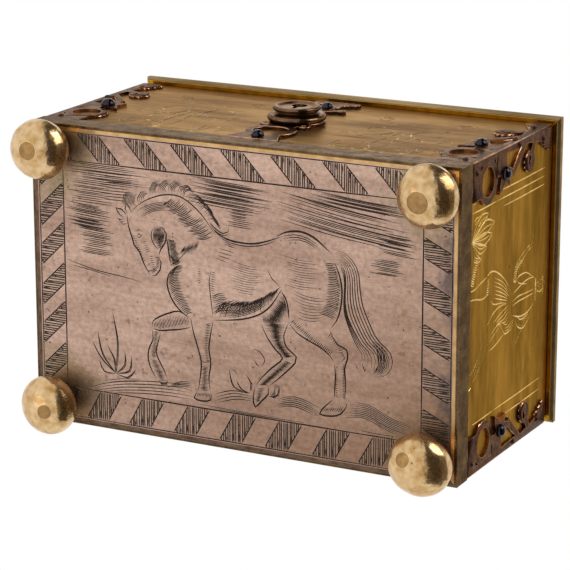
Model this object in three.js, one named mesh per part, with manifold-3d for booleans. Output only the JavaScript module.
import * as THREE from "three";
import { mergeVertices } from "three/addons/utils/BufferGeometryUtils.js";
import Module from "manifold-3d";

// A miniature casket: gilt brass plates on ball feet, held at the edges by pierced steel
// mounts, with a hinged lid, a drop handle and a key lock behind the front wall.
// Millimetres, +Z up, the front towards -Y. The origin lies on the standing surface,
// under the middle of the box.

const wasm = await Module();
wasm.setup();

// The box of brass plates
const bodyLength = 71;
const bodyDepth = 46.8;
const wallHeight = 35.3;
const wallThickness = 1;
const footHeight = 7;

// The base plate lies in a rebate round the lower edge of the walls
const basePlateThickness = 0.9;
const rebateWidth = 0.5;

// The steel skirt round the foot of the walls
const skirtProjection = 0.5;
const skirtHeight = 4;
const skirtBevel = 0.25;

// Ball feet and the pins riveted through them
const footInsetX = 3.4;
const footInsetY = 3.1;
const footRadius = 4.65;
const footNeckRadius = 2.3;
const footNeckHeight = 0.35;
const footRidge = 0.1;
const footPinRadius = 0.8;
const footPinHeadRadius = 1.6;
const footPinHeadHeight = 0.6;
const footPinBurrRadius = 1.4;
const footPinBurrHeight = 0.5;
const footPinClearance = 0.05;
const footSteps = 5;

// Pierced corner straps: across is from the corner's edge, up is from the skirt
const mountThickness = 0.45;
const strapTopGap = 1.3;
const strapStripWidth = 1.1;
const strapHeadWidth = 3.1;
const strapHeadHeight = 9.6;
const strapCrownWidth = 2;
const strapCrownHeight = 3;
const strapScallopRadius = 0.75;
const strapRingAcross = 4;
const strapRingUp = 5.7;
const strapRingRadius = 3.4;
const strapRingHole = 2.25;
const strapWebHeight = 2.9;
const strapWebLength = 6;
const strapKnotUp = 12;
const strapKnotRadius = 1.5;
const strapKnotWeb = 3;
const strapLeafLength = 3;
const strapLeafWidth = 1.8;
const strapStayWidth = 1;
const strapStayFootUp = 15.6;
const strapStayHeadUp = 20;
const strapLobeAcross = 4.1;
const strapLobeUp = 21.5;
const strapLobeRadius = 1.7;
const strapEyeLength = 1.9;
const strapEyeWidth = 0.8;
const strapArmRise = 1.8;
const strapCurlRadius = 1.3;

// The pierced escutcheon on the front: across is from its middle, up is from the skirt
const escutcheonThickness = 0.5;
const escutcheonFootWidth = 9;
const escutcheonFootHeight = 3;
const escutcheonRingUp = 6.4;
const escutcheonRingRadius = 4;
const escutcheonRingHole = 2.75;
const escutcheonEarAcross = 3.2;
const escutcheonEarUp = 11.2;
const escutcheonEarRadius = 1;
const escutcheonEarHole = 0.4;
const escutcheonStemWidth = 2.4;
const escutcheonArmUp = 22.8;
const escutcheonArmReach = 3.1;
const escutcheonArmRise = 1.3;
const escutcheonArmWidth = 0.9;
const escutcheonKnotUp = 26.8;
const escutcheonKnotRadius = 1.7;
const escutcheonHeadWidth = 6.4;

// The collar round the keyhole; the keyhole sits a little above the collar's middle
const collarUp = 15;
const collarRadius = 4.55;
const collarFlangeHeight = 1;
const collarFlangeLap = 0.2;
const collarWaistRadius = 3.2;
const collarRimRadius = 3.7;
const collarRimHeight = 0.7;
const collarHeight = 2.3;
const collarDish = 0.3;
const collarLip = 0.5;
const keyholeRise = 1;
const keyholeRadius = 1.2;
const keyBitWidth = 0.8;
const keyBitReach = 2.5;

// The lid: a moulded frame that overhangs the walls, and a plate let into it
const lidGap = 0.2;
const lidThickness = 1.9;
const lidOverhang = 1.1;
const lidStep = 0.4;
const lidStepHeight = 0.4;
const lidBevel = 0.3;
const lidFrameWidth = 7.2;
const lidPanelThickness = 0.8;
const lidPanelSeat = 4.7;
const lidPanelClearance = 0.05;

// Two hinges behind the lid
const hingeInset = 15.5;
const hingeStrapWidth = 5;
const hingeTailLength = 8.5;
const hingeBend = 2.8;
const hingeStrapThickness = 0.5;
const hingeBarrelRadius = 1;
const hingeBarrelWidth = 6.6;
const hingeMiddleWidth = 2.2;
const hingeKnuckleGap = 0.15;
const hingePinRadius = 0.4;
const hingePinHeadRadius = 0.75;
const hingePinHeadWidth = 0.4;
const hingeClearance = 0.1;

// The drop handle on the lid
const handleSpan = 24;
const handleReach = 9;
const handleWireRadius = 0.6;
const handleGripRadius = 1.1;
const handleGripLength = 9;
const handleBend = 2.4;
const handleKnobRadius = 0.85;
const handleBurrLength = 0.6;
const handleRestGap = 0.2;
const handleClearance = 0.1;
const handleEyeWidth = 1;
const handleEyeWall = 0.6;
const rosetteRadius = 2.5;
const rosetteHeight = 0.4;

// Pierced mounts on the lid's corners
const lidMountReach = 11.5;
const lidMountRingInset = 4;
const lidMountLeafLength = 6.5;

// The lock behind the front wall: one bar with two hooked noses that catch the lid's toes
const lockPlateLength = 46;
const lockPlateHeight = 12;
const lockPlateThickness = 0.5;
const lockPlateBelowKey = 5;
const boltClearance = 0.1;
const boltThickness = 1.2;
const boltBarHeight = 2.2;
const boltBarAboveKey = 3.6;
const boltInset = 6;
const boltRiserWidth = 2.4;
const boltRiserHeight = 4.4;
const boltNoseLength = 2.2;
const boltNoseHeight = 2;
const boltTalonWidth = 1;
const boltTalonGap = 2.4;
const boltTalonDrop = 1.6;
const guideWidth = 3;
const guideThickness = 0.5;
const keyPinRadius = 0.6;
const keyPinRecess = 0.3;
const lockCoverLength = 19;
const lockCoverHeight = 11;
const lockCoverThickness = 0.5;
const lockCoverBelowKey = 4.6;
const lockCoverPostRadius = 0.6;
const lockCoverPostInset = 1;
const springThickness = 0.3;
const springFootLength = 1.6;
const springStapleGap = 0.9;
const springRise = 1.4;
const catchWidth = 2.2;
const catchToeHeight = 1.6;
const catchToeLength = 1;
const catchLegThickness = 1.2;
const catchFlangeLength = 2.9;
const catchFlangeThickness = 0.5;
const catchClearance = 0.3;

// Roundness
const roundSides = 20;
const smallSides = 12;

// Levels and half sizes that follow from the sizes above
const halfLength = bodyLength / 2;
const halfDepth = bodyDepth / 2;
const skirtTop = footHeight + skirtHeight;
const wallTop = footHeight + wallHeight;
const lidUnder = wallTop + lidGap;
const lidTop = lidUnder + lidThickness;
const footX = halfLength - footInsetX;
const footY = halfDepth - footInsetY;
const collarZ = skirtTop + collarUp;
const keyholeZ = collarZ + keyholeRise;
const innerFrontY = wallThickness - halfDepth;

// Finishes
const gilt = { color: 0xb08d3c, roughness: 0.35, metalness: 1 };
const paleGilt = { color: 0xcdb878, roughness: 0.25, metalness: 1 };
const bareSteel = { color: 0xa38f86, roughness: 0.5, metalness: 1 };
const bluedSteel = { color: 0x4f3d35, roughness: 0.42, metalness: 1 };
const brightSteel = { color: 0x8a8c90, roughness: 0.35, metalness: 1 };

// Turns the faces outwards: a mirrored or reversed outline encloses a negative volume.
function facingOut(geometry) {
  const position = geometry.getAttribute("position");
  const index = geometry.index.array;
  const a = new THREE.Vector3();
  const b = new THREE.Vector3();
  const c = new THREE.Vector3();
  let volume = 0;
  for (let i = 0; i < index.length; i += 3) {
    a.fromBufferAttribute(position, index[i]);
    b.fromBufferAttribute(position, index[i + 1]);
    c.fromBufferAttribute(position, index[i + 2]);
    volume += a.dot(b.cross(c));
  }
  if (volume >= 0) return geometry;
  for (let i = 0; i < index.length; i += 3) {
    const second = index[i + 1];
    index[i + 1] = index[i + 2];
    index[i + 2] = second;
  }
  return geometry;
}

// A closed three.js geometry as a solid that can be joined and cut.
function solid(geometry) {
  const bare = geometry.clone();
  bare.deleteAttribute("normal");
  bare.deleteAttribute("uv");
  const merged = facingOut(mergeVertices(bare, 1e-5));
  const mesh = new wasm.Mesh({
    numProp: 3,
    vertProperties: new Float32Array(merged.getAttribute("position").array),
    triVerts: new Uint32Array(merged.index.array),
  });
  return new wasm.Manifold(mesh);
}

function joined(solids) {
  return solids.reduce((whole, part) => whole.add(part));
}

// Solid of a geometry whose own x, y and z lie along the given directions of the casket.
function placed(geometry, origin, xAxis, yAxis, zAxis) {
  const matrix = new THREE.Matrix4().makeBasis(xAxis, yAxis, zAxis).setPosition(origin);
  return solid(geometry.clone().applyMatrix4(matrix));
}

const east = new THREE.Vector3(1, 0, 0);
const west = new THREE.Vector3(-1, 0, 0);
const back = new THREE.Vector3(0, 1, 0);
const forward = new THREE.Vector3(0, -1, 0);
const up = new THREE.Vector3(0, 0, 1);
const down = new THREE.Vector3(0, 0, -1);

// A box between two corners.
function block(low, high) {
  const size = high.map((value, axis) => value - low[axis]);
  const geometry = new THREE.BoxGeometry(...size);
  geometry.translate(...low.map((value, axis) => value + size[axis] / 2));
  return solid(geometry);
}

// A flat outline given as points, with round holes, cut from sheet of the given thickness.
function sheet(outline, thickness, holes = []) {
  const shape = new THREE.Shape(outline.map(([x, y]) => new THREE.Vector2(x, y)));
  for (const { x, y, radius } of holes) {
    shape.holes.push(new THREE.Path().absarc(x, y, radius, 0, 2 * Math.PI, true));
  }
  const settings = { depth: thickness, bevelEnabled: false, curveSegments: smallSides / 2 };
  return new THREE.ExtrudeGeometry(shape, settings);
}

// Points of an arc, in degrees.
function arc(x, y, radius, from, to, steps) {
  return Array.from({ length: steps + 1 }, (_, i) => {
    const angle = THREE.MathUtils.degToRad(from + ((to - from) * i) / steps);
    return [x + radius * Math.cos(angle), y + radius * Math.sin(angle)];
  });
}

function disc(x, y, radius, sides = roundSides) {
  return arc(x, y, radius, 0, 360, sides).slice(0, sides);
}

function rectangle(left, bottom, right, top) {
  return [
    [left, bottom],
    [right, bottom],
    [right, top],
    [left, top],
  ];
}

// A strip that follows a centre line, with its own width at each step.
function tapered(centre, width) {
  const left = [];
  const right = [];
  centre.forEach(([x, y], i) => {
    const [x0, y0] = centre[Math.max(i - 1, 0)];
    const [x1, y1] = centre[Math.min(i + 1, centre.length - 1)];
    const length = Math.hypot(x1 - x0, y1 - y0);
    const half = width(i / (centre.length - 1)) / 2;
    const across = [(-half * (y1 - y0)) / length, (half * (x1 - x0)) / length];
    left.push([x + across[0], y + across[1]]);
    right.push([x - across[0], y - across[1]]);
  });
  return left.concat(right.reverse());
}

// A volute that starts on the given circle and winds in, thickening towards its end.
function curl(x, y, radius, from, to, width) {
  const steps = 7;
  const centre = Array.from({ length: steps + 1 }, (_, i) => {
    const part = i / steps;
    const angle = THREE.MathUtils.degToRad(from + (to - from) * part);
    const reach = radius * (1 - 0.55 * part);
    return [x + reach * Math.cos(angle), y + reach * Math.sin(angle)];
  });
  return tapered(centre, (part) => width * (0.75 + 0.5 * part));
}

// A pointed leaf from its root towards the given direction, in degrees.
function leaf(x, y, direction, length, width) {
  const steps = 3;
  const half = Array.from({ length: steps }, (_, i) => {
    const part = i / steps;
    return [length * part, (width / 2) * Math.sin(Math.PI * (0.28 + 0.72 * part))];
  });
  const outline = [...half, [length, 0], ...half.map(([a, b]) => [a, -b]).reverse()];
  const angle = THREE.MathUtils.degToRad(direction);
  return outline.map(([a, b]) => [
    x + a * Math.cos(angle) - b * Math.sin(angle),
    y + a * Math.sin(angle) + b * Math.cos(angle),
  ]);
}

// One side of a mitred frame round the box: the section is given as [outwards, z] from the
// walls' outer faces, and side counts front, right, rear and left.
function mitredSide(section, side) {
  const corners = [
    [-1, -1],
    [1, -1],
    [1, 1],
    [-1, 1],
  ];
  const ends = [corners[side], corners[(side + 1) % corners.length]];
  const points = ends.flatMap(([signX, signY]) =>
    section.map(([outwards, z]) => [
      signX * (halfLength + outwards),
      signY * (halfDepth + outwards),
      z,
    ]),
  );
  const count = section.length;
  const faces = [];
  section.forEach((_, i) => {
    const next = (i + 1) % count;
    faces.push([i, next, count + next], [i, count + next, count + i]);
  });
  const outline = section.map(([a, b]) => new THREE.Vector2(a, b));
  for (const [a, b, c] of THREE.ShapeUtils.triangulateShape(outline, [])) {
    faces.push([a, c, b], [count + a, count + b, count + c]);
  }
  const geometry = new THREE.BufferGeometry();
  geometry.setAttribute("position", new THREE.Float32BufferAttribute(points.flat(), 3));
  geometry.setIndex(faces.flat());
  return solid(geometry);
}

// A turned piece about a line through the origin along the axis, from [radius, along] points.
function turned(profile, origin, axis, sides = roundSides) {
  const lathe = new THREE.LatheGeometry(
    profile.map(([radius, along]) => new THREE.Vector2(radius, along)),
    sides,
  );
  const side = Math.abs(axis.x) > 0.5 ? back : east;
  return placed(lathe, new THREE.Vector3(...origin), side, axis, side.clone().cross(axis));
}

function rod(radius, origin, axis, length, sides = smallSides) {
  const profile = [
    [0, 0],
    [radius, 0],
    [radius, length],
    [0, length],
  ];
  return turned(profile, origin, axis, sides);
}

const casket = new THREE.Group();

function piece(name, shape, finish) {
  const mesh = shape.getMesh();
  const count = mesh.numProp;
  const position = new Float32Array(mesh.numVert * 3);
  for (let i = 0; i < mesh.numVert; i++) {
    position.set(mesh.vertProperties.subarray(i * count, i * count + 3), i * 3);
  }
  const geometry = new THREE.BufferGeometry();
  geometry.setAttribute("position", new THREE.BufferAttribute(position, 3));
  geometry.setIndex(new THREE.BufferAttribute(new Uint32Array(mesh.triVerts), 1));
  const flat = geometry.toNonIndexed();
  flat.computeVertexNormals();
  const made = new THREE.Mesh(flat, new THREE.MeshStandardMaterial(finish));
  made.name = name;
  casket.add(made);
}

const sideNames = ["front", "right", "rear", "left"];

// Keyhole through anything flat on the front: a round hole with a slot below for the bit.
function keyholeCutter(margin) {
  const outerY = -halfDepth - escutcheonThickness - collarHeight - margin;
  const length = innerFrontY + lockPlateThickness + margin - outerY;
  const hole = rod(keyholeRadius, [0, outerY, keyholeZ], back, length, roundSides);
  const slot = block(
    [-keyBitWidth / 2, outerY, keyholeZ - keyBitReach],
    [keyBitWidth / 2, outerY + length, keyholeZ],
  );
  return hole.add(slot);
}

function buildWalls() {
  const plateTop = footHeight + basePlateThickness;
  const section = [
    [0, footHeight],
    [0, wallTop],
    [-wallThickness, wallTop],
    [-wallThickness, plateTop],
    [-rebateWidth, plateTop],
    [-rebateWidth, footHeight],
  ];
  sideNames.forEach((name, side) => {
    const wall = mitredSide(section, side);
    const cut = name === "front" ? wall.subtract(keyholeCutter(1)) : wall;
    piece(`${name}_wall`, cut, gilt);
  });
}

function buildSkirt() {
  const section = [
    [0, footHeight],
    [skirtProjection, footHeight],
    [skirtProjection, skirtTop - skirtBevel],
    [skirtProjection - skirtBevel, skirtTop],
    [0, skirtTop],
  ];
  sideNames.forEach((name, side) => {
    piece(`${name}_skirt`, mitredSide(section, side), bluedSteel);
  });
}

const footPlaces = [
  ["front_left", -1, -1],
  ["front_right", 1, -1],
  ["rear_right", 1, 1],
  ["rear_left", -1, 1],
];

function buildBase() {
  const x = halfLength - rebateWidth;
  const y = halfDepth - rebateWidth;
  const holes = footPlaces.map(([, signX, signY]) => ({
    x: signX * footX,
    y: signY * footY,
    radius: footPinRadius + footPinClearance,
  }));
  const plate = sheet(rectangle(-x, -y, x, y), basePlateThickness, holes);
  piece("base_plate", placed(plate, new THREE.Vector3(0, 0, footHeight), east, back, up), bareSteel);
}

// A slightly flattened ball with a raised line round its middle, a flat under the pin's
// head and a short neck against the base plate.
function buildFeet() {
  const ballTop = footHeight - footNeckHeight;
  const bore = footPinRadius + footPinClearance;
  const recess = footPinHeadRadius + footPinClearance;
  const low = Math.asin(recess / footRadius);
  const high = Math.asin(footNeckRadius / footRadius);
  const rise = ballTop / (Math.cos(low) + Math.cos(high));
  const middle = rise * Math.cos(low);
  const half = (from, to) =>
    Array.from({ length: footSteps }, (_, i) => {
      const angle = from + ((to - from) * i) / footSteps;
      return [footRadius * Math.sin(angle), middle - rise * Math.cos(angle)];
    });
  const lower = half(low, Math.PI / 2);
  const upper = half(Math.PI - high, Math.PI / 2).reverse();
  const profile = [
    [bore, footPinHeadHeight],
    [recess, footPinHeadHeight],
    [recess, 0],
    ...lower.slice(1),
    [footRadius + footRidge, middle],
    ...upper,
    [footNeckRadius, footHeight],
    [bore, footHeight],
    [bore, footPinHeadHeight],
  ];
  const plateTop = footHeight + basePlateThickness;
  const pin = [
    [0, 0],
    [footPinHeadRadius, 0],
    [footPinHeadRadius, footPinHeadHeight],
    [footPinRadius, footPinHeadHeight],
    [footPinRadius, plateTop],
    [footPinBurrRadius, plateTop],
    [footPinRadius, plateTop + footPinBurrHeight],
    [0, plateTop + footPinBurrHeight],
  ];
  for (const [name, signX, signY] of footPlaces) {
    const place = [signX * footX, signY * footY, 0];
    piece(`${name}_foot`, turned(profile, place, up), paleGilt);
    piece(`${name}_foot_pin`, turned(pin, place, up, smallSides), brightSteel);
  }
}

// Scallops along a slanting edge.
function scallops([x0, y0], [x1, y1], radius) {
  const count = 3;
  return Array.from({ length: count }, (_, i) => {
    const part = i / (count - 1);
    return disc(x0 + (x1 - x0) * part, y0 + (y1 - y0) * part, radius, smallSides);
  });
}

// One pierced flange in one sheet, from its foot up: a ring, a leafy knot, a slanting
// stay, an eyed lobe on an arm and a scalloped crown on the strip along the edge.
function strapFlange(height) {
  const flat = (outline) => solid(sheet(outline, mountThickness));
  const u = strapRingAcross;
  const half = strapStayWidth / 2;
  const crown = [strapCrownWidth, height - strapCrownHeight];
  const crownEnd = [strapHeadWidth, height - strapScallopRadius];
  const edge = [
    [0, 0],
    [strapStripWidth, 0],
    [strapStripWidth, height - strapHeadHeight],
    crown,
    [strapHeadWidth, height],
    [0, height],
  ];
  const stay = [
    [strapStripWidth - half, strapStayHeadUp],
    [u + half, strapStayFootUp - half],
  ];
  const arm = [
    [strapStripWidth, strapLobeUp + strapArmRise],
    [strapLobeAcross, strapLobeUp],
  ];
  const outlines = [
    edge,
    rectangle(0, 0, strapWebLength, strapWebHeight),
    disc(u, strapRingUp, strapRingRadius),
    rectangle(0, strapKnotUp - strapKnotWeb, u, strapKnotUp + half),
    disc(u, strapKnotUp, strapKnotRadius, smallSides),
    leaf(u, strapKnotUp, -36, strapLeafLength + half, strapLeafWidth),
    leaf(u, strapKnotUp, 40, strapLeafLength, strapLeafWidth),
    leaf(u, strapKnotUp, 84, strapStayFootUp - strapKnotUp, strapLeafWidth),
    tapered(stay, (part) => strapStayWidth * (0.7 + 0.6 * part)),
    tapered(arm, (part) => strapStayWidth * (1 + 0.6 * part)),
    disc(strapLobeAcross, strapLobeUp, strapLobeRadius, smallSides),
    ...scallops(crown, crownEnd, strapScallopRadius),
  ];
  const eye = [
    [strapLobeAcross - strapEyeLength / 2, strapLobeUp],
    [strapLobeAcross, strapLobeUp - strapEyeWidth / 3],
    [strapLobeAcross + strapEyeLength / 2, strapLobeUp + strapEyeWidth / 4],
  ];
  const eyeOutline = tapered(eye, (part) => strapEyeWidth * (1.3 - part));
  const ringHole = disc(u, strapRingUp, strapRingHole, smallSides + 4);
  return pierced(joined(outlines.map(flat)), [ringHole, eyeOutline], mountThickness);
}

// A flat piece with openings of the given outlines cut right through it.
function pierced(shape, outlines, thickness) {
  return outlines.reduce((rest, outline) => {
    const cutter = sheet(outline, thickness + 2).translate(0, 0, -1);
    return rest.subtract(solid(cutter));
  }, shape);
}

// A solid whose own x, y and z are laid along the given directions of the casket.
function moved(shape, origin, xAxis, yAxis, zAxis) {
  const matrix = new THREE.Matrix4().makeBasis(xAxis, yAxis, zAxis).setPosition(origin);
  return shape.transform(matrix.toArray());
}

function buildCornerStraps() {
  const height = wallTop - strapTopGap - skirtTop;
  const flange = strapFlange(height);
  const x = halfLength + mountThickness;
  const y = halfDepth + mountThickness;
  for (const [name, signX, signY] of footPlaces) {
    const acrossX = signX > 0 ? west : east;
    const acrossY = signY > 0 ? forward : back;
    const outX = signX > 0 ? east : west;
    const outY = signY > 0 ? back : forward;
    const onLongWall = moved(
      flange,
      new THREE.Vector3(signX * x, signY * halfDepth, skirtTop),
      acrossX,
      up,
      outY,
    );
    const onEndWall = moved(
      flange,
      new THREE.Vector3(signX * halfLength, signY * y, skirtTop),
      acrossY,
      up,
      outX,
    );
    piece(`${name}_strap`, onLongWall.add(onEndWall), bluedSteel);
  }
}

// The escutcheon rises from the skirt: a flared foot, a ring, two ears, the collar's round
// seat and, above it, a stem with two arms, a knot and a scalloped head.
function buildEscutcheon() {
  const flat = (outline) => solid(sheet(outline, escutcheonThickness));
  const half = escutcheonFootWidth / 2;
  const ringHalf = escutcheonRingRadius * Math.cos(Math.PI / 4);
  const stem = escutcheonStemWidth / 2;
  const head = escutcheonHeadWidth / 2;
  const top = wallTop - strapTopGap - skirtTop;
  const foot = [
    [-half, 0],
    [half, 0],
    [ringHalf, escutcheonFootHeight + escutcheonRingRadius / 4],
    [-ringHalf, escutcheonFootHeight + escutcheonRingRadius / 4],
  ];
  const crown = [
    [-stem, escutcheonKnotUp],
    [stem, escutcheonKnotUp],
    [head, top],
    [-head, top],
  ];
  const middle = [
    foot,
    disc(0, escutcheonRingUp, escutcheonRingRadius),
    rectangle(-2 * stem, escutcheonRingUp + escutcheonRingHole, 2 * stem, collarUp),
    disc(0, collarUp, collarRadius - collarFlangeLap),
    rectangle(-stem, collarUp, stem, escutcheonKnotUp),
    disc(0, escutcheonKnotUp, escutcheonKnotRadius, smallSides),
    crown,
  ];
  const sides = [-1, 1].flatMap((sign) => {
    const tip = [sign * escutcheonArmReach, escutcheonArmUp + escutcheonArmRise];
    const knotSide = [sign * stem, escutcheonKnotUp + stem];
    const headEnd = [sign * head, top - strapScallopRadius];
    return [
      disc(sign * escutcheonEarAcross, escutcheonEarUp, escutcheonEarRadius, smallSides),
      tapered([[0, escutcheonArmUp], tip], () => escutcheonArmWidth),
      disc(...tip, strapScallopRadius, smallSides),
      ...scallops(knotSide, headEnd, strapScallopRadius),
    ];
  });
  const holes = [
    disc(0, escutcheonRingUp, escutcheonRingHole),
    disc(-escutcheonEarAcross, escutcheonEarUp, escutcheonEarHole, smallSides),
    disc(escutcheonEarAcross, escutcheonEarUp, escutcheonEarHole, smallSides),
  ];
  const plate = pierced(joined([...middle, ...sides].map(flat)), holes, escutcheonThickness);
  const origin = new THREE.Vector3(0, -halfDepth, skirtTop);
  const onWall = moved(plate, origin, east, up, forward);
  piece("escutcheon", onWall.subtract(keyholeCutter(1)), bluedSteel);
}

// The collar has a thick rounded flange, a waist and a dished rim round the keyhole.
function buildCollar() {
  const rimFoot = collarHeight - collarRimHeight;
  const rounding = collarFlangeHeight / 4;
  const profile = [
    [0, 0],
    [collarRadius - rounding, 0],
    [collarRadius, rounding],
    [collarRadius, 2 * rounding],
    [collarRadius - rounding, collarFlangeHeight],
    [collarWaistRadius + rounding, collarFlangeHeight + rounding],
    [collarWaistRadius, (collarFlangeHeight + rimFoot) / 2 + rounding],
    [collarWaistRadius + rounding, rimFoot],
    [collarRimRadius, rimFoot + collarRimHeight / 2],
    [collarRimRadius - rounding, collarHeight],
    [collarRimRadius - collarLip, collarHeight],
    [collarRimRadius - 2 * collarLip, collarHeight - collarDish],
    [0, collarHeight - collarDish],
  ];
  const origin = [0, -halfDepth - escutcheonThickness, collarZ];
  const collar = turned(profile, origin, forward, roundSides);
  piece("keyhole_collar", collar.subtract(keyholeCutter(1)), bluedSteel);
}

// Four mitred mouldings with a stepped edge, and the plate that lies in their rebate.
function buildLid() {
  const inner = lidOverhang - lidFrameWidth;
  const panelEdge = lidOverhang - (lidFrameWidth - lidPanelSeat);
  const panelUnder = lidTop - lidPanelThickness;
  const section = [
    [inner, lidUnder],
    [lidOverhang - lidStep, lidUnder],
    [lidOverhang - lidStep, lidUnder + lidStepHeight],
    [lidOverhang, lidUnder + lidStepHeight + lidStep * 0.6],
    [lidOverhang, lidTop - lidBevel],
    [lidOverhang - lidBevel, lidTop],
    [panelEdge, lidTop],
    [panelEdge, panelUnder],
    [inner, panelUnder],
  ];
  sideNames.forEach((name, side) => {
    piece(`lid_${name}_moulding`, mitredSide(section, side), gilt);
  });
  const x = halfLength + panelEdge - lidPanelClearance;
  const y = halfDepth + panelEdge - lidPanelClearance;
  const panel = sheet(rectangle(-x, -y, x, y), lidPanelThickness);
  piece("lid_panel", placed(panel, new THREE.Vector3(0, 0, panelUnder), east, back, up), gilt);
}

// Pierced corner pieces laid flat on the lid: a ring in the corner, a leaf towards the
// middle and a strip along each edge that ends in a curl.
function buildLidCorners() {
  const edge = lidOverhang - lidBevel;
  const flat = (outline) => solid(sheet(outline, mountThickness));
  const ringAt = lidMountRingInset;
  const curlAcross = strapCurlRadius + strapStayWidth / 3;
  const parts = [
    rectangle(0, 0, lidMountReach, strapStripWidth),
    rectangle(0, 0, strapStripWidth, lidMountReach),
    disc(ringAt, ringAt, strapRingRadius),
    leaf(ringAt, ringAt, 45, lidMountLeafLength, 2 * strapLeafWidth),
    curl(lidMountReach, curlAcross, strapCurlRadius, -90, 150, strapStayWidth),
    curl(curlAcross, lidMountReach, strapCurlRadius, 180, -60, strapStayWidth),
  ].map(flat);
  const hole = disc(ringAt, ringAt, strapRingHole, smallSides + 4);
  const mount = pierced(joined(parts), [hole], mountThickness);
  for (const [name, signX, signY] of footPlaces) {
    const origin = new THREE.Vector3(signX * (halfLength + edge), signY * (halfDepth + edge), lidTop);
    const acrossX = signX > 0 ? west : east;
    const acrossY = signY > 0 ? forward : back;
    piece(`lid_${name}_mount`, moved(mount, origin, acrossX, acrossY, up), bluedSteel);
  }
}

const hingeY = halfDepth + lidOverhang + hingeClearance + hingeBarrelRadius;
const hingeZ = lidUnder - hingeClearance;

// A leaf's strip in side view: it lies flat on its plate and bends out to the barrel.
function hingeStrip(points, width, x) {
  const geometry = sheet(points, width);
  return placed(geometry, new THREE.Vector3(x - width / 2, 0, 0), back, up, east);
}

function knuckle(x, width) {
  const barrel = rod(hingeBarrelRadius, [x - width / 2, hingeY, hingeZ], east, width);
  const bore = rod(
    hingePinRadius + hingeClearance,
    [x - width / 2 - 1, hingeY, hingeZ],
    east,
    width + 2,
  );
  return { barrel, bore };
}

// A leaf's broad end, drawn upwards from its root: a tongue with a point and two leaves.
function hingeTail() {
  const half = hingeStrapWidth / 2;
  const outlines = [
    rectangle(-half, 0, half, hingeTailLength / 2),
    leaf(0, hingeTailLength / 3, 90, (hingeTailLength * 2) / 3, hingeStrapWidth),
    leaf(0, hingeTailLength / 2.2, 35, hingeStrapWidth * 0.9, half),
    leaf(0, hingeTailLength / 2.2, 145, hingeStrapWidth * 0.9, half),
  ];
  return joined(outlines.map((outline) => solid(sheet(outline, hingeStrapThickness))));
}

function buildHinges() {
  const t = hingeStrapThickness;
  const outer = halfDepth + lidOverhang + hingeClearance;
  const bodyLeaf = [
    [halfDepth, hingeZ - 2 * hingeBend],
    [halfDepth + t, hingeZ - 2 * hingeBend],
    [halfDepth + t, hingeZ - hingeBend],
    [outer + t, hingeZ - hingeBend / 2],
    [outer + t, hingeZ],
    [outer, hingeZ],
    [outer, hingeZ - hingeBend / 2 + t / 2],
    [halfDepth, hingeZ - hingeBend + t / 2],
  ];
  const lidLeaf = [
    [halfDepth, lidTop],
    [outer, lidTop],
    [outer, hingeZ],
    [outer + t, hingeZ],
    [outer + t, lidTop + t / 2],
    [outer + t / 2, lidTop + t],
    [halfDepth, lidTop + t],
  ];
  const sideWidth = (hingeBarrelWidth - hingeMiddleWidth) / 2 - hingeKnuckleGap;
  const sideX = (hingeBarrelWidth - sideWidth) / 2;
  const gapHalf = hingeMiddleWidth / 2 + hingeKnuckleGap;
  const pinProfile = [
    [0, -hingePinHeadWidth],
    [hingePinHeadRadius, -hingePinHeadWidth],
    [hingePinHeadRadius, 0],
    [hingePinRadius, 0],
    [hingePinRadius, hingeBarrelWidth],
    [hingePinHeadRadius, hingeBarrelWidth],
    [hingePinHeadRadius, hingeBarrelWidth + hingePinHeadWidth],
    [0, hingeBarrelWidth + hingePinHeadWidth],
  ];
  for (const [name, sign] of [
    ["left", -1],
    ["right", 1],
  ]) {
    const x = sign * (halfLength - hingeInset);
    const sides = [-1, 1].map((end) => knuckle(x + end * sideX, sideWidth));
    const gap = block(
      [x - gapHalf, halfDepth + t + hingeClearance, hingeZ - hingeBend],
      [x + gapHalf, hingeY + 2 * hingeBarrelRadius, hingeZ + 2 * hingeBarrelRadius],
    );
    const wallRoot = new THREE.Vector3(x, halfDepth, hingeZ - hingeBend);
    const bodySolids = [
      hingeStrip(bodyLeaf, hingeBarrelWidth, x).subtract(gap),
      moved(hingeTail(), wallRoot, east, down, back),
      ...sides.map(({ barrel }) => barrel),
    ];
    const bored = sides.reduce((shape, { bore }) => shape.subtract(bore), joined(bodySolids));
    piece(`${name}_hinge_body_leaf`, bored, bluedSteel);
    const middle = knuckle(x, hingeMiddleWidth);
    const lidRoot = new THREE.Vector3(x, halfDepth + lidOverhang - lidBevel, lidTop);
    const lidSolids = [
      hingeStrip(lidLeaf, hingeMiddleWidth, x),
      moved(hingeTail(), lidRoot, west, forward, up),
      middle.barrel,
    ];
    piece(`${name}_hinge_lid_leaf`, joined(lidSolids).subtract(middle.bore), bluedSteel);
    const pin = turned(pinProfile, [x - hingeBarrelWidth / 2, hingeY, hingeZ], east, smallSides);
    piece(`${name}_hinge_pin`, pin, brightSteel);
  }
}

const handleZ = lidTop + handleGripRadius + handleRestGap;
const handleBore = handleWireRadius + handleClearance;

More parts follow.
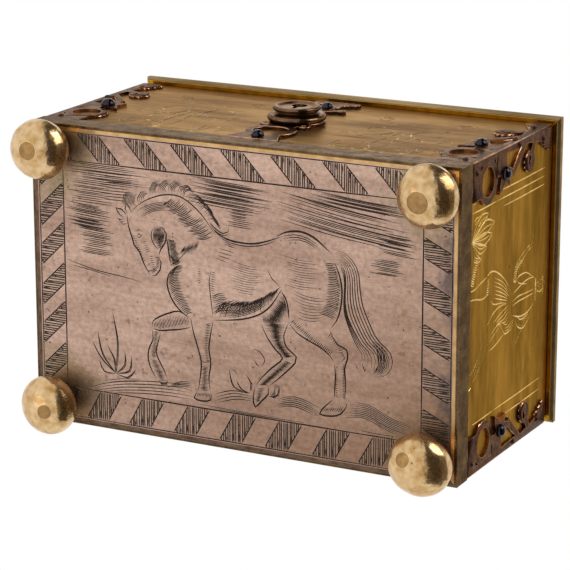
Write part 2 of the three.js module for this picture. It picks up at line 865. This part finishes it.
// Each post is an eye on a round rosette, and the bail's bent ends turn in the eyes.
function buildHandlePosts() {
  for (const [name, sign] of [
    ["left", -1],
    ["right", 1],
  ]) {
    const x = (sign * handleSpan) / 2;
    const rosette = turned(
      [
        [0, 0],
        [rosetteRadius, 0],
        [rosetteRadius - 0.15, rosetteHeight * 0.6],
        [rosetteRadius * 0.55, rosetteHeight],
        [0, rosetteHeight],
      ],
      [x, 0, lidTop],
      up,
      roundSides,
    );
    const eyeRadius = handleBore + handleEyeWall;
    const eyeX = x - handleEyeWidth / 2;
    const eye = rod(eyeRadius, [eyeX, 0, handleZ], east, handleEyeWidth, roundSides);
    const stem = block(
      [eyeX, -eyeRadius * 0.8, lidTop + rosetteHeight / 2],
      [eyeX + handleEyeWidth, eyeRadius * 0.8, handleZ],
    );
    const boreX = x - rosetteRadius;
    const bore = rod(handleBore, [boreX, 0, handleZ], east, 2 * rosetteRadius, roundSides);
    piece(`${name}_handle_post`, rosette.add(stem).add(eye).subtract(bore), bluedSteel);
  }
}

function buildHandle() {
  const half = handleSpan / 2;
  const gap = handleEyeWidth / 2 + handleClearance;
  const armX = half + gap + handleKnobRadius;
  const inner = half - gap;
  const bend = handleBend;
  const line = new THREE.CurvePath();
  const point = (x, y) => new THREE.Vector3(x, y, 0);
  line.add(new THREE.LineCurve3(point(-armX, 0), point(-armX, bend - handleReach)));
  line.add(
    new THREE.QuadraticBezierCurve3(
      point(-armX, bend - handleReach),
      point(-armX, -handleReach),
      point(bend - armX, -handleReach),
    ),
  );
  line.add(new THREE.LineCurve3(point(bend - armX, -handleReach), point(armX - bend, -handleReach)));
  line.add(
    new THREE.QuadraticBezierCurve3(
      point(armX - bend, -handleReach),
      point(armX, -handleReach),
      point(armX, bend - handleReach),
    ),
  );
  line.add(new THREE.LineCurve3(point(armX, bend - handleReach), point(armX, 0)));
  const section = new THREE.Shape(
    disc(0, 0, handleWireRadius, 8).map(([x, y]) => new THREE.Vector2(x, y)),
  );
  const wire = solid(new THREE.ExtrudeGeometry(section, { steps: 24, extrudePath: line }));
  const grip = turned(
    [
      [0, 0],
      [handleWireRadius * 0.9, 0],
      [handleGripRadius * 0.8, 0.7],
      [handleWireRadius * 1.15, 1.5],
      [handleGripRadius * 0.85, 2.8],
      [handleGripRadius, handleGripLength / 2],
      [handleGripRadius * 0.85, handleGripLength - 2.8],
      [handleWireRadius * 1.15, handleGripLength - 1.5],
      [handleGripRadius * 0.8, handleGripLength - 0.7],
      [handleWireRadius * 0.9, handleGripLength],
      [0, handleGripLength],
    ],
    [-handleGripLength / 2, -handleReach, 0],
    east,
    smallSides,
  );
  const ends = [-1, 1].flatMap((sign) => {
    const axis = sign > 0 ? west : east;
    const knob = handleKnobRadius;
    return [
      rod(knob, [sign * (armX + knob), 0, 0], axis, 2 * knob),
      rod(handleWireRadius, [sign * armX, 0, 0], axis, armX - inner + handleBurrLength),
      rod(handleBore + handleEyeWall / 3, [sign * inner, 0, 0], axis, handleBurrLength),
    ];
  });
  const bail = joined([wire, grip, ...ends]).translate([0, 0, handleZ]);
  piece("handle_bail", bail, bluedSteel);
}

const boltSpread = lockPlateLength - 2 * boltInset;
const boltFrontY = innerFrontY + lockPlateThickness + boltClearance;
const boltBackY = boltFrontY + boltThickness;
const boltBarZ = keyholeZ + boltBarAboveKey;
const boltBarTop = boltBarZ + boltBarHeight;
const noseTop = boltBarTop + boltRiserHeight;
const noseUnder = noseTop - boltNoseHeight;
const guideX = boltSpread / 2 - boltNoseLength - catchWidth - 2 * catchClearance - guideWidth / 2;
const springLength = 2 * (guideX - guideWidth / 2 - springFootLength - springStapleGap);

// The lock plate carries two staples that the bar slides in.
function buildLockPlate() {
  const bottom = keyholeZ - lockPlateBelowKey;
  const half = lockPlateLength / 2;
  const plateBack = innerFrontY + lockPlateThickness;
  const plate = block([-half, innerFrontY, bottom], [half, plateBack, bottom + lockPlateHeight]);
  const staples = [-1, 1].map((sign) => {
    const x = sign * guideX;
    const low = [x - guideWidth / 2, innerFrontY, boltBarZ - boltClearance - guideThickness];
    const high = [
      x + guideWidth / 2,
      boltBackY + boltClearance + guideThickness,
      boltBarTop + boltClearance + guideThickness,
    ];
    const window = block(
      [x - guideWidth, plateBack, boltBarZ - boltClearance],
      [x + guideWidth, boltBackY + boltClearance, boltBarTop + boltClearance],
    );
    return block(low, high).subtract(window);
  });
  piece("lock_plate", joined([plate, ...staples]).subtract(keyholeCutter(1)), brightSteel);
}

// One bar with a hooked nose near each end and two talons that the key's bit pushes.
function buildBolt() {
  const half = boltSpread / 2;
  const y0 = boltFrontY;
  const y1 = boltBackY;
  const bar = block([-half - boltRiserWidth, y0, boltBarZ], [half, y1, boltBarTop]);
  const hooks = [-half - boltRiserWidth, half - boltRiserWidth].flatMap((x) => [
    block([x, y0, boltBarZ], [x + boltRiserWidth, y1, noseTop]),
    block([x, y0, noseUnder], [x + boltRiserWidth + boltNoseLength, y1, noseTop]),
  ]);
  const talons = [-1, 1].map((sign) => {
    const x = (sign * (boltTalonGap + boltTalonWidth)) / 2;
    return block(
      [x - boltTalonWidth / 2, y0, boltBarZ - boltTalonDrop],
      [x + boltTalonWidth / 2, y1, boltBarTop],
    );
  });
  piece("lock_bolt", joined([bar, ...hooks, ...talons]), brightSteel);
}

// The bowed leaf spring stands on the lock plate and bears on the top of the bar.
function buildSpring() {
  const foot = boltBarTop + boltClearance;
  const left = -springLength / 2;
  const right = springLength / 2;
  const line = new THREE.QuadraticBezierCurve(
    new THREE.Vector2(left, foot + springThickness),
    new THREE.Vector2(left + springLength * 0.45, foot + springRise * 2),
    new THREE.Vector2(right, foot + springThickness / 2),
  );
  const centre = line.getPoints(10).map((p) => [p.x, p.y]);
  const leafShape = solid(sheet(tapered(centre, () => springThickness), boltThickness));
  const footing = rectangle(
    left - springFootLength,
    foot,
    left + springThickness,
    foot + 2 * springThickness + boltClearance,
  );
  const base = solid(sheet(footing, boltThickness));
  const origin = new THREE.Vector3(0, innerFrontY + lockPlateThickness, 0);
  const shape = moved(leafShape.add(base), origin, east, up, back);
  piece("bolt_spring", shape, brightSteel);
}

// The gilt cover stands on four posts behind the key's path.
const coverFrontY = boltBackY + boltClearance + guideThickness + boltClearance;

function buildLockCover() {
  const bottom = keyholeZ - lockCoverBelowKey;
  const half = lockCoverLength / 2;
  const cover = block(
    [-half, coverFrontY, bottom],
    [half, coverFrontY + lockCoverThickness, bottom + lockCoverHeight],
  );
  const plateBack = innerFrontY + lockPlateThickness;
  const posts = [-1, 1].flatMap((sign) =>
    [bottom + lockCoverPostInset, boltBarZ - boltTalonDrop - lockCoverPostInset].map((z) =>
      rod(
        lockCoverPostRadius,
        [sign * (half - lockCoverPostInset), plateBack, z],
        back,
        coverFrontY + lockCoverThickness - plateBack,
      ),
    ),
  );
  piece("lock_cover", joined([cover, ...posts]), gilt);
  const pinTip = -halfDepth - escutcheonThickness - collarHeight + collarDish + keyPinRecess;
  piece("key_pin", rod(keyPinRadius, [0, pinTip, keyholeZ], back, coverFrontY - pinTip), brightSteel);
}

// Under the lid two toes reach below the noses' path; they swing clear of the wall.
function buildCatches() {
  const toeTop = noseUnder - catchClearance;
  const legFront = boltBackY + catchClearance;
  const side = [
    [legFront - catchToeLength, toeTop - catchToeHeight],
    [legFront + catchLegThickness, toeTop - catchToeHeight],
    [legFront + catchLegThickness, lidUnder - catchFlangeThickness],
    [legFront + catchFlangeLength, lidUnder - catchFlangeThickness],
    [legFront + catchFlangeLength, lidUnder],
    [legFront, lidUnder],
    [legFront, toeTop],
    [legFront - catchToeLength, toeTop],
  ];
  const half = boltSpread / 2;
  for (const [name, riserX] of [
    ["left", -half - boltRiserWidth],
    ["right", half - boltRiserWidth],
  ]) {
    const x = riserX + boltRiserWidth + boltNoseLength + catchClearance;
    const shape = placed(sheet(side, catchWidth), new THREE.Vector3(x, 0, 0), back, up, east);
    piece(`${name}_catch`, shape, brightSteel);
  }
}

buildWalls();
buildBase();
buildSkirt();
buildFeet();
buildCornerStraps();
buildEscutcheon();
buildCollar();
buildLockPlate();
buildBolt();
buildSpring();
buildLockCover();
buildLid();
buildLidCorners();
buildHinges();
buildHandlePosts();
buildHandle();
buildCatches();

export default casket;
